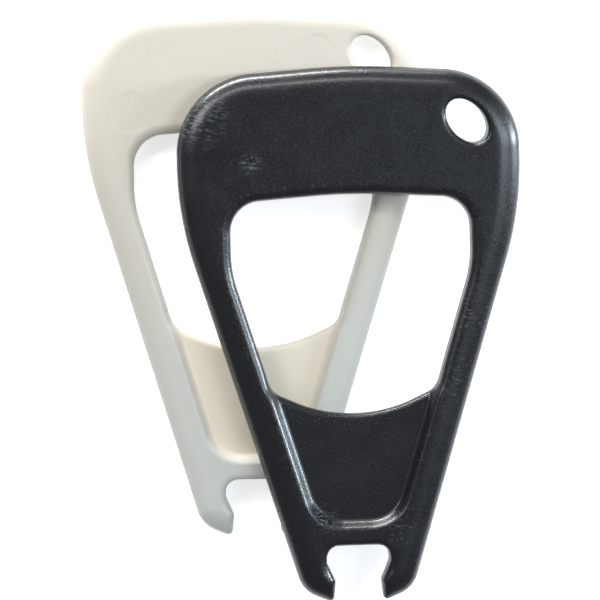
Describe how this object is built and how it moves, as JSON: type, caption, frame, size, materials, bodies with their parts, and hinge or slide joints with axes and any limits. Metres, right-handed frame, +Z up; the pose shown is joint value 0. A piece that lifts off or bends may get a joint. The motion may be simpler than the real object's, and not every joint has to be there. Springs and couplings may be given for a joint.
{
  "type": "loop pull handle with an open jaw",
  "caption": "Flat moulded plastic loop handles with a finger window, a thin web, an open jaw at the narrow end and an oval hanging hole, laid one on the other.",
  "frame": {"origin": "middle of the bottom of the box around both handles as they lie", "axes": "+Z up through the stack, +Y from the jaws towards the grips, +X across the handles"},
  "size_m": [0.0873, 0.1201, 0.0128],
  "materials": {
    "ivory_plastic": "satin moulded",
    "black_plastic": "fine-grained satin moulded"
  },
  "bodies": {
    "ivory": {"ivory_handle": "ivory_plastic"},
    "black": {"black_handle": "black_plastic"}
  },
  "joints": [
    {"name": "lift_off", "type": "slide", "parent": "ivory", "child": "black", "axis": [0, 0, 1], "range_m": [0, 0.03]}
  ]
}
